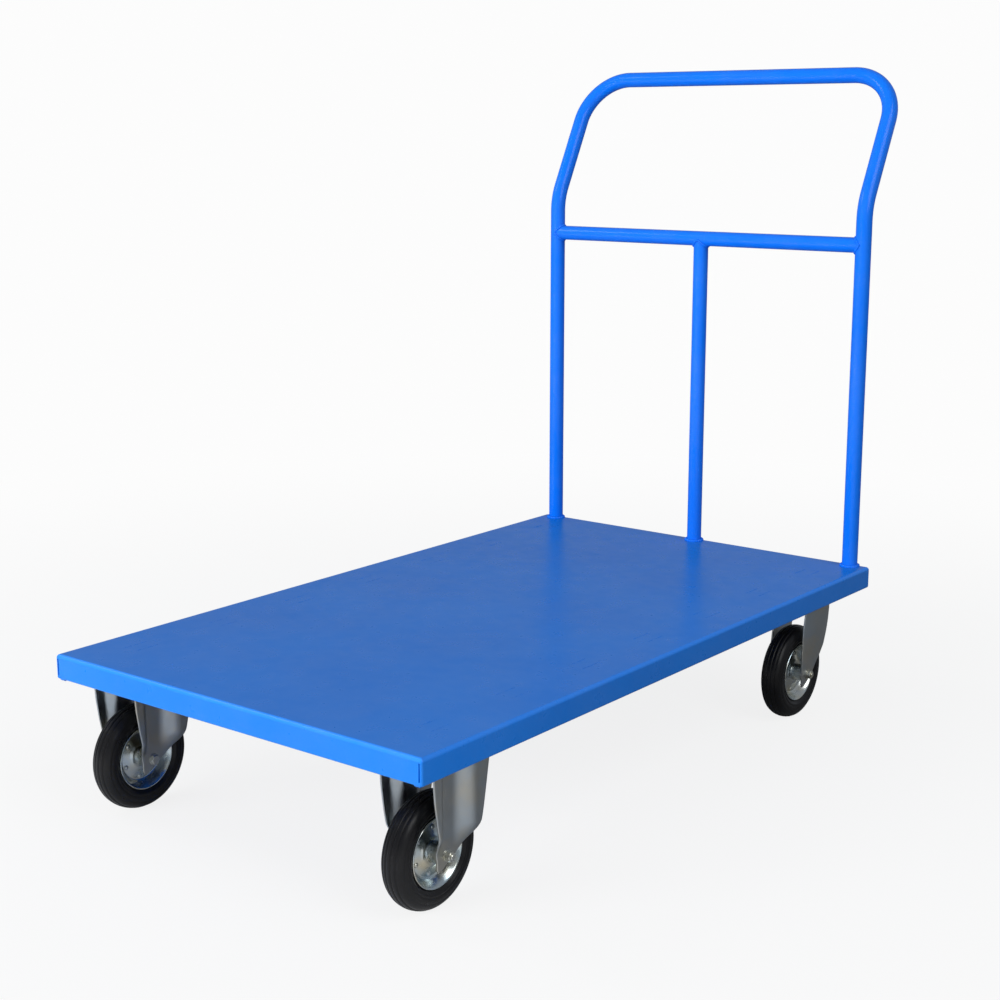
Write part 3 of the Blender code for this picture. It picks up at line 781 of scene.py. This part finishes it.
def pressed_leg(bm, centre, side, rows, edges, outset):
    """A sheet leg with round edges, from its rows, its front and rear edge tables and how far out it stands."""
    columns, edge = 40, 0.0007
    front, rear = edges
    low = rows[0][0]

    def point(row, column, depth, shrink):
        z, pull = rows[row]
        y0, y1 = read_edge(front, z) + shrink, read_edge(rear, z) - shrink
        y = y0 + (y1 - y0) * column / columns
        x = outset(y, z) + depth - pull
        drop = max(0.0, shrink - (z - low))
        return Vector(centre) + Vector((side * x, y, z + drop))

    skins = []
    for depth in (0, LEG_SHEET):
        skins.append([
            [bm.verts.new(point(r, c, depth, edge)) for c in range(columns + 1)] for r in range(len(rows))
        ])
    for grid in skins:
        for a, b in zip(grid, grid[1:]):
            for c in range(columns):
                bm.faces.new((a[c], a[c + 1], b[c + 1], b[c]))
    last = len(rows) - 1
    border = [(0, c) for c in range(columns + 1)] + [(r, columns) for r in range(1, last)]
    border += [(last, c) for c in range(columns, -1, -1)] + [(r, 0) for r in range(last - 1, 0, -1)]
    bands = [[skins[0][r][c] for r, c in border]]
    for depth in (edge, LEG_SHEET - edge):
        bands.append([bm.verts.new(point(r, c, depth, 0)) for r, c in border])
    bands.append([skins[1][r][c] for r, c in border])
    for a, b in zip(bands, bands[1:]):
        for k in range(len(border)):
            j = (k + 1) % len(border)
            bm.faces.new((a[k], a[j], b[j], b[k]))


def fixed_outset(y, z):
    """How far the leg's inner face stands from the wheel's middle: a channel that fades out at the axle."""
    share = ease((z - 0.083) / 0.034)
    wing = max(ease((y - 0.010) / 0.034), ease((-0.012 - y) / 0.014))
    return LEG_INSIDE + 0.0142 * share * wing


for side_name, sign in (("left", -1), ("right", 1)):
    hub_low, hub_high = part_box(f"hub_front_{side_name}")
    wheel_x, wheel_y = (hub_low[0] + hub_high[0]) / 2, (hub_low[1] + hub_high[1]) / 2
    plate_low_corner, plate_high_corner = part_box(f"fixed_fork_{side_name}")
    bracket_bm = bmesh.new()
    slab(bracket_bm, (*plate_low_corner[:2], PLATE_LOW), (*plate_high_corner[:2], PLATE_HIGH), PLATE_CORNER)
    rows = leg_rows(FIXED_FOOT, PLATE_LOW + 0.002, 44)
    for leg_side in (-1, 1):
        pressed_leg(bracket_bm, (wheel_x, wheel_y, 0), leg_side, rows, (FIXED_FRONT, FIXED_REAR), fixed_outset)
    bracket = finished(f"fixed_bracket_{side_name}", bracket_bm, BRACKET_ZINC, 50)
    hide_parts(f"fixed_fork_{side_name}")
    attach(bracket, "cart")
    seams = []
    for leg_side in (-1, 1):
        ys = [-0.041 + 0.109 * k / 50 for k in range(51)]
        seams.append([
            (wheel_x + leg_side * (fixed_outset(y, 0.2) + LEG_SHEET), wheel_y + y, PLATE_LOW - 0.0003) for y in ys
        ])
    seam_weld = grown(
        f"fixed_bracket_welds_{side_name}", WELD_TREE, path_mesh(*seams), BRACKET_ZINC, Size=0.0022, Pitch=0.0026,
        Ripple=0.0003, Seed=11.0 + sign,
    )
    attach(seam_weld, "cart")


# ------------------------------------------------------------------------------------------ swivel castors
# The two castors under the handle swivel. Each has a flat bolted plate, a race of balls between it and the
# fork's crown, and a kingpin riveted through both. The fork's legs are 3 mm sheet and trail the wheel.

RACE_STEEL = zinc("race_steel", (0.42, 0.42, 0.43), (0.36, 0.38, 0.42), (0.44, 0.41, 0.34), 0.32, 0.48)
BALL = 0.0021
BALL_RING = 0.0332
BALL_RISE = 0.0024
BALLS = 44
CROWN_SHEET = 0.003
CROWN_BEND = 0.0075
SWIVEL_FOOT = 0.0596
SWIVEL_FRONT = (
    (0.0596, -0.0155), (0.0600, -0.0168), (0.0615, -0.0180), (0.066, -0.0186), (0.093, -0.0195), (0.107, -0.0190),
    (0.122, -0.0180), (0.150, -0.0150), (0.182, -0.0110), (0.200, -0.0090),
)
SWIVEL_REAR = (
    (0.0596, -0.0140), (0.0608, -0.0110), (0.066, -0.0005), (0.080, 0.0180), (0.093, 0.0290), (0.107, 0.0430),
    (0.122, 0.0530), (0.150, 0.0600), (0.182, 0.0680), (0.200, 0.0700),
)


def swivel_outset(y, z):
    """Nearly flat, with a slight bow across the leg that grows towards the crown."""
    share = ease((z - 0.095) / 0.075)
    bow = 1 - ((y - 0.034) / 0.042) ** 2
    return LEG_INSIDE + share * 0.0055 * max(-0.3, bow)


for side_name in ("left", "right"):
    hub_low, hub_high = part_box(f"hub_rear_{side_name}")
    wheel_x, wheel_y = (hub_low[0] + hub_high[0]) / 2, (hub_low[1] + hub_high[1]) / 2
    race_low, race_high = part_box(f"ball_race_{side_name}")
    pin_low, pin_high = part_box(f"kingpin_{side_name}")
    swivel_y = (race_low[1] + race_high[1]) / 2
    axis = Vector((wheel_x, swivel_y, 0))

    plate_bm = bmesh.new()
    slab(plate_bm, *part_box(f"swivel_plate_{side_name}"), PLATE_CORNER)
    boss = [(0.001, 0.043), (-0.0001, 0.0425), (-0.0004, 0.040), (0.0005, 0.010)]
    spun(plate_bm, [(PLATE_LOW + rise, radius) for rise, radius in boss], 64)
    bmesh.ops.translate(plate_bm, verts=plate_bm.verts[-4 * 64:], vec=axis)
    plate = finished(f"swivel_plate_pressing_{side_name}", plate_bm, BRACKET_ZINC)
    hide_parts(f"swivel_plate_{side_name}")
    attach(plate, "cart")

    race_bm = bmesh.new()
    top, foot = race_high[2], race_low[2]
    cup = [
        (0.0, 0.026), (0.0, 0.0355), (-0.0006, 0.0368), (-0.0020, 0.0378), (-0.0036, 0.0379), (-0.0040, 0.0374),
        (-0.0040, 0.0366), (-0.0018, 0.0362), (-0.0012, 0.0350), (-0.0012, 0.0300),
    ]
    cup = [(top + drop, radius) for drop, radius in cup] + [(foot + 0.0003, 0.0290), (foot + 0.0003, 0.0260)]
    spun(race_bm, cup, 72, closed=True)
    bmesh.ops.translate(race_bm, verts=race_bm.verts, vec=axis)
    race = finished(f"race_cup_{side_name}", race_bm, RACE_STEEL, 30)
    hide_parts(f"ball_race_{side_name}")
    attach(race, "cart")
    ball_bm = bmesh.new()
    bmesh.ops.create_uvsphere(ball_bm, u_segments=16, v_segments=10, radius=BALL)
    ring = []
    for a in circle(BALLS):
        place = axis + Vector((BALL_RING * math.cos(a), BALL_RING * math.sin(a), foot + BALL_RISE))
        ring.append((place, (0, 0, 1)))
    balls = set_on(f"race_balls_{side_name}", ball_bm, ring, FASTENER_ZINC, seed=6)
    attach(balls, "cart")

    pin_bm = bmesh.new()
    head = [(0.0, 0.0045), (0.0005, 0.0080), (0.0014, 0.0108), (0.0026, 0.0120), (0.0030, 0.0120), (0.0030, 0.0060)]
    head = [(pin_low[2] + rise, radius) for rise, radius in head]
    head += [(pin_high[2] - 0.0004, 0.0060), (pin_high[2], 0.0055)]
    spun(pin_bm, head, 48)
    bmesh.ops.translate(pin_bm, verts=pin_bm.verts, vec=axis)
    pin = finished(f"kingpin_rivet_{side_name}", pin_bm, RACE_STEEL, 30)
    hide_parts(f"kingpin_{side_name}")
    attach(pin, "cart")

    fork_bm = bmesh.new()
    crown_top = foot - 0.0003
    crown = [
        (-CROWN_SHEET, 0.0335), (-CROWN_SHEET, 0.0372), (-0.0022, 0.0384), (-0.0010, 0.0388), (-0.0002, 0.0380),
        (0.0, 0.0370), (0.0, 0.0335), (0.0, 0.0240), (0.0, 0.0063), (-CROWN_SHEET, 0.0063),
    ]
    crown = [(crown_top + drop, radius) for drop, radius in crown]
    spun(fork_bm, crown, 96, closed=True)
    bmesh.ops.translate(fork_bm, verts=fork_bm.verts, vec=axis)
    bend_start = crown_top - CROWN_BEND
    rows = leg_rows(SWIVEL_FOOT, bend_start, 36)
    for turn in quarter(10)[1:-1]:
        rows.append((bend_start + 0.0074 * math.sin(turn), CROWN_BEND * (1 - math.cos(turn))))
    for leg_side in (-1, 1):
        pressed_leg(fork_bm, (wheel_x, wheel_y, 0), leg_side, rows, (SWIVEL_FRONT, SWIVEL_REAR), swivel_outset)
    fork = finished(f"swivel_fork_pressing_{side_name}", fork_bm, BRACKET_ZINC, 50)
    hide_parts(f"swivel_fork_{side_name}")
    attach(fork, f"rear_{side_name}_swivel")


# ------------------------------------------------------------------------------------------ axles
# Each wheel turns on an M8 bolt through both legs, with washers, and a nut on the cart's outer side whose
# threads show past it. The fixed castors' axles belong to the cart, the others to their forks.

AXLE_RADIUS = 0.0040
AXLE_FLATS = 0.0064
AXLE_PAST_LEG = 0.0102
THREAD_PITCH = 0.00125
THREAD_CUT = 0.0005
AXLE_WASHER = ((-0.0001, 0.0080), (0.0000, 0.0084), (0.0014, 0.0084), (0.0016, 0.0080))
LEG_FACE = LEG_INSIDE + LEG_SHEET


def thread(low, high, radius):
    """Ring ridges of a bolt's thread as an (along, radius) profile."""
    points = [(low, radius)]
    z = low
    while z + THREAD_PITCH < high - 0.0008:
        root = radius - THREAD_CUT
        points += [(z + THREAD_PITCH * 0.45, root), (z + THREAD_PITCH * 0.55, root), (z + THREAD_PITCH, radius)]
        z += THREAD_PITCH
    return [*points, (high - 0.0008, radius), (high, radius - 0.0009)]


for end in ("front", "rear"):
    for side_name, sign in (("left", -1), ("right", 1)):
        where = f"{end}_{side_name}"
        body = "cart" if end == "front" else f"{where}_swivel"
        to_side = Matrix.Translation(middle_of(f"hub_{where}")) @ Matrix.Rotation(sign * math.pi / 2, 4, "Y")
        axle_bm = bmesh.new()
        hexagon(axle_bm, -LEG_FACE - 0.0056, -LEG_FACE - 0.0016, AXLE_FLATS, True, False, 8)
        spun(axle_bm, [(-LEG_FACE - 0.0001 - z, radius) for z, radius in reversed(AXLE_WASHER)], 48)
        shank = [(-LEG_FACE - 0.0020, AXLE_RADIUS), (LEG_FACE - 0.001, AXLE_RADIUS)]
        spun(axle_bm, shank + thread(LEG_FACE, LEG_FACE + AXLE_PAST_LEG, AXLE_RADIUS), 32)
        bmesh.ops.transform(axle_bm, matrix=to_side, verts=axle_bm.verts)
        axle = finished(f"axle_bolt_m8_{where}", axle_bm, FASTENER_ZINC, 28)
        nut_bm = bmesh.new()
        spun(nut_bm, [(LEG_FACE + 0.0001 + z, radius) for z, radius in AXLE_WASHER], 48)
        hexagon(nut_bm, LEG_FACE + 0.0016, LEG_FACE + 0.0083, AXLE_FLATS, True, True, 8)
        bmesh.ops.transform(nut_bm, matrix=to_side, verts=nut_bm.verts)
        nut = finished(f"axle_nut_m8_{where}", nut_bm, FASTENER_ZINC, 28)
        for fastener, node in ((axle, f"axle_bolt_{where}"), (nut, f"axle_nut_{where}")):
            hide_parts(node)
            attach(fastener, body)


# ------------------------------------------------------------------------------------------ wheels
# Solid black rubber tyres, 160 x 40 mm, with moulded rings round the tread and sidewalls. Each sits on two
# dished discs pressed from sheet, zinc plated and riveted back to back round a hub tube.

def build_rubber():
    """Black moulded rubber: dull, slightly patchy, with pale dust in soft patches and specks."""
    material, tree, shader, place = surface("tyre_rubber")
    shade = group_in(tree, PATCHY, place, Scale=22, Low=0, High=1)
    tone = blend(tree, shade, (0.0022, 0.0024, 0.0034), (0.0050, 0.0048, 0.0056))
    dusty = blend(tree, group_in(tree, GRIT, place, Scale=420, Amount=0.06), tone, (0.11, 0.10, 0.09))
    gloss = group_in(tree, PATCHY, place, Scale=45, Low=0.26, High=0.40)
    dress(tree, shader, dusty, gloss, group_in(tree, SKIN, place, Fine=1100, Long=90, Share=0.55), 0.30, 0.0008)
    shader.inputs["Specular IOR Level"].default_value = 0.31
    return material


RUBBER = build_rubber()
RIM_ZINC = zinc("rim_zinc", (0.60, 0.63, 0.63), (0.46, 0.60, 0.68), (0.70, 0.62, 0.44), 0.16, 0.28)
RIVETS = 6
RIVET_RING = 0.0310
RIVET_SEAT = 0.0038
RIVET_DOME = ((0, 3.6), (0.6, 3.6), (1.3, 3.2), (1.9, 2.4), (2.2, 1.3), (2.3, 0.3))
TYRE_HALF = (
    (0, 80), (2, 79.95), (2.5, 79.7), (2.9, 79.0), (3.3, 78.6), (3.9, 78.55), (4.4, 78.9), (4.8, 79.35),
    (5.6, 79.4), (8.6, 78.6), (9.2, 78.1), (9.5, 77.1), (9.9, 76.6), (10.7, 76.3), (11.2, 76.5), (11.6, 77.0),
    (12.4, 76.7), (14, 75.6), (15.6, 74.0), (16.9, 72.0), (17.8, 70.0), (18.2, 68.8), (18.1, 67.9), (18.5, 67.0),
    (19.2, 65.0), (19.5, 62.8), (19.4, 60.8), (19, 59.6), (18.9, 58.9), (19.2, 58.1), (19.4, 56.9), (19.1, 55.6),
    (18.4, 54.4), (17.4, 53.2), (16.6, 51.7), (15.8, 50.6), (14.7, 49.9), (12.8, 49.6), (10.6, 46.8), (8, 44.0),
)
RIM_SIDE = (
    (14.6, 48.7), (15.3, 49.2), (16.2, 49.2), (16.8, 48.7), (16.9, 48.0), (16.5, 47.2), (15.4, 46.2), (13.2, 44.5),
    (10.4, 42.5), (7.4, 40.4), (5, 38.8), (3.7, 37.6), (2.8, 36.4), (2.6, 35.4), (2.9, 34.5), (6.4, 24.2),
    (7.2, 22.6), (8.2, 21.0), (8.9, 19.4), (9.2, 18.0), (9.2, 16.4), (9.3, 15.3), (9.7, 14.9), (9.7, 14.6),
    (0.3, 14.6), (0.3, 35.4), (4, 39.6), (12, 45.9),
)
HUB_SIDE = (
    (0, 14.3), (26.2, 14.3), (26.8, 14.1), (27.2, 13.5), (27.2, 12.6), (26.6, 12.4), (26.4, 8.4), (26.8, 7.8),
    (28.6, 7.6), (28.7, 7.2), (28.7, 4.6), (28.4, 4.3), (0, 4.3),
)


def in_metres(profile):
    """A profile given in millimetres, in metres."""
    return [(along / 1000, radius / 1000) for along, radius in profile]


def mirrored(half):
    """A half profile with its mirror image before it."""
    return [(-along, radius) for along, radius in half[::-1] if along > 0] + half


def wheel_piece(name, profile, sides, turn, finish, angle, node, body):
    """A turned ring about the wheel's axle, in the place of its CAD node."""
    bm = bmesh.new()
    spun(bm, profile, sides, closed=True)
    bmesh.ops.transform(bm, matrix=turn, verts=bm.verts)
    piece = finished(name, bm, finish, angle, flats=False)
    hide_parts(node)
    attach(piece, body)


for end in ("front", "rear"):
    for side_name, sign in (("left", -1), ("right", 1)):
        where = f"{end}_{side_name}"
        body = f"{where}_wheel"
        centre = middle_of(f"hub_{where}")
        to_right = Matrix.Translation(centre) @ Matrix.Rotation(math.pi / 2, 4, "Y")
        tyre_profile, hub_profile = mirrored(in_metres(TYRE_HALF)), mirrored(in_metres(HUB_SIDE))
        wheel_piece(
            f"rubber_tyre_{where}", tyre_profile, 144, to_right, RUBBER, 60, f"tyre_{where}", body,
        )
        wheel_piece(
            f"hub_tube_{where}", hub_profile, 64, to_right, FASTENER_ZINC, 35, f"hub_{where}", body,
        )
        rivet_places = []
        for disc, way in (("outer", sign), ("inner", -sign)):
            turn = Matrix.Translation(centre) @ Matrix.Rotation(way * math.pi / 2, 4, "Y")
            wheel_piece(
                f"wheel_disc_{disc}_{where}", in_metres(RIM_SIDE), 128, turn, RIM_ZINC, 35, f"rim_{disc}_{where}",
                body,
            )
            for a in circle(RIVETS, start=0.35):
                place = centre + Vector((way * RIVET_SEAT, RIVET_RING * math.cos(a), RIVET_RING * math.sin(a)))
                rivet_places.append((place, (way, 0, 0)))
        rivet_bm = bmesh.new()
        spun(rivet_bm, in_metres(RIVET_DOME), 20)
        rivets = set_on(f"disc_rivets_{where}", rivet_bm, rivet_places, FASTENER_ZINC, seed=9, angle=40)
        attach(rivets, body)


# ------------------------------------------------------------------------------------------ camera and light
# A pale floor, evenly white to the camera, with painted light and shade in what the metal reflects of it: bright in
# front of the cart, dark under and behind it. A white room and soft boxes. The camera stands at the front right
# corner, at the height of a person's waist.

PAPER_WHITE = (0.975, 0.975, 0.975, 1)
FLOOR_REACH = 40
corners = [(-FLOOR_REACH, -FLOOR_REACH, 0), (FLOOR_REACH, -FLOOR_REACH, 0)]
corners += [(FLOOR_REACH, FLOOR_REACH, 0), (-FLOOR_REACH, FLOOR_REACH, 0)]
floor_mesh = bpy.data.meshes.new("studio_floor")
floor_mesh.from_pydata(corners, [], [(0, 1, 2, 3)])
floor = in_scene("studio_floor", floor_mesh)
floor_finish, floor_tree, floor_shader, floor_place = surface("pale_floor")
seen = put(floor_tree, "ShaderNodeLightPath").outputs["Is Camera Ray"]
along_y = put(floor_tree, "ShaderNodeSeparateXYZ", Vector=floor_place).outputs["Y"]
# Painted light and shade on the floor for all rays but the camera's: bright in front of the cart, dark under and
# behind it. It stands in for the lit pool and the cart's shadow.
painted_floor_light_and_shade = mapped(floor_tree, along_y, -0.72, -0.34, 0.95, 0.30, "SMOOTHSTEP")
tone = put(floor_tree, "ShaderNodeMix", Factor=seen, A=painted_floor_light_and_shade, B=0.90)
floor_tree.links.new(tone.outputs["Result"], floor_shader.inputs["Base Color"])
floor_shader.inputs["Roughness"].default_value = 0.95
floor_shader.inputs["Specular IOR Level"].default_value = 0.0
glow = put(floor_tree, "ShaderNodeEmission", Color=PAPER_WHITE, Strength=1.0)
reach = put(floor_tree, "ShaderNodeVectorMath", {"operation": "LENGTH"}, _0=floor_place).outputs["Value"]
fade = mapped(floor_tree, reach, 0.5, 2.6, 0.86, 1.0, "SMOOTHSTEP")
both = put(
    floor_tree, "ShaderNodeMixShader", _0=maths(floor_tree, "MULTIPLY", fade, seen), _1=floor_shader.outputs[0],
    _2=glow.outputs[0],
)
floor_tree.links.new(both.outputs[0], floor_tree.nodes["Material Output"].inputs["Surface"])
floor_mesh.materials.append(floor_finish)

world = bpy.data.worlds.new("studio")
bpy.context.scene.world = world
world.use_nodes = True
sky = world.node_tree
seen = put(sky, "ShaderNodeLightPath").outputs["Is Camera Ray"]
room = sky.nodes["Background"]
room.inputs["Color"].default_value = (0.62, 0.66, 0.72, 1)
room.inputs["Strength"].default_value = 0.50
white = put(sky, "ShaderNodeBackground", Color=PAPER_WHITE, Strength=1.0)
mixed = put(sky, "ShaderNodeMixShader", _0=seen, _1=room.outputs[0], _2=white.outputs[0])
sky.links.new(mixed.outputs[0], sky.nodes["World Output"].inputs["Surface"])


def soft_box(name, place, aim, size, power):
    """A rectangular white soft box that faces aim."""
    light = bpy.data.lights.new(name, "AREA")
    light.shape = "RECTANGLE"
    light.size, light.size_y = size
    light.energy = power
    lamp = in_scene(name, light)
    lamp.location = place
    lamp.rotation_euler = (Vector(aim) - Vector(place)).to_track_quat("-Z", "Y").to_euler()
    return lamp


soft_box("front_box", (-1.4, -5.0, 1.3), (0, 0, 0.5), (3.6, 2.2), 245).visible_glossy = False
soft_box("side_box", (3.3, -0.8, 2.9), (0.3, -0.2, 0.2), (2.2, 3.0), 57)
soft_box("top_box", (-2.5, -1.5, 2.7), (0, -0.3, 0.2), (0.9, 0.9), 12)

camera_data = bpy.data.cameras.new("camera")
camera_data.sensor_width = 36
camera_data.lens = 62.04
camera_data.clip_start, camera_data.clip_end = 0.05, 200
camera = in_scene("camera", camera_data)
camera.location = (1.6382, -2.1501, 0.9850)
aim = Vector((0.00057, -0.056, 0.4189)) - camera.location
camera.rotation_euler = aim.to_track_quat("-Z", "Y").to_euler()
bpy.context.scene.camera = camera
bpy.context.scene.view_settings.view_transform = "Standard"
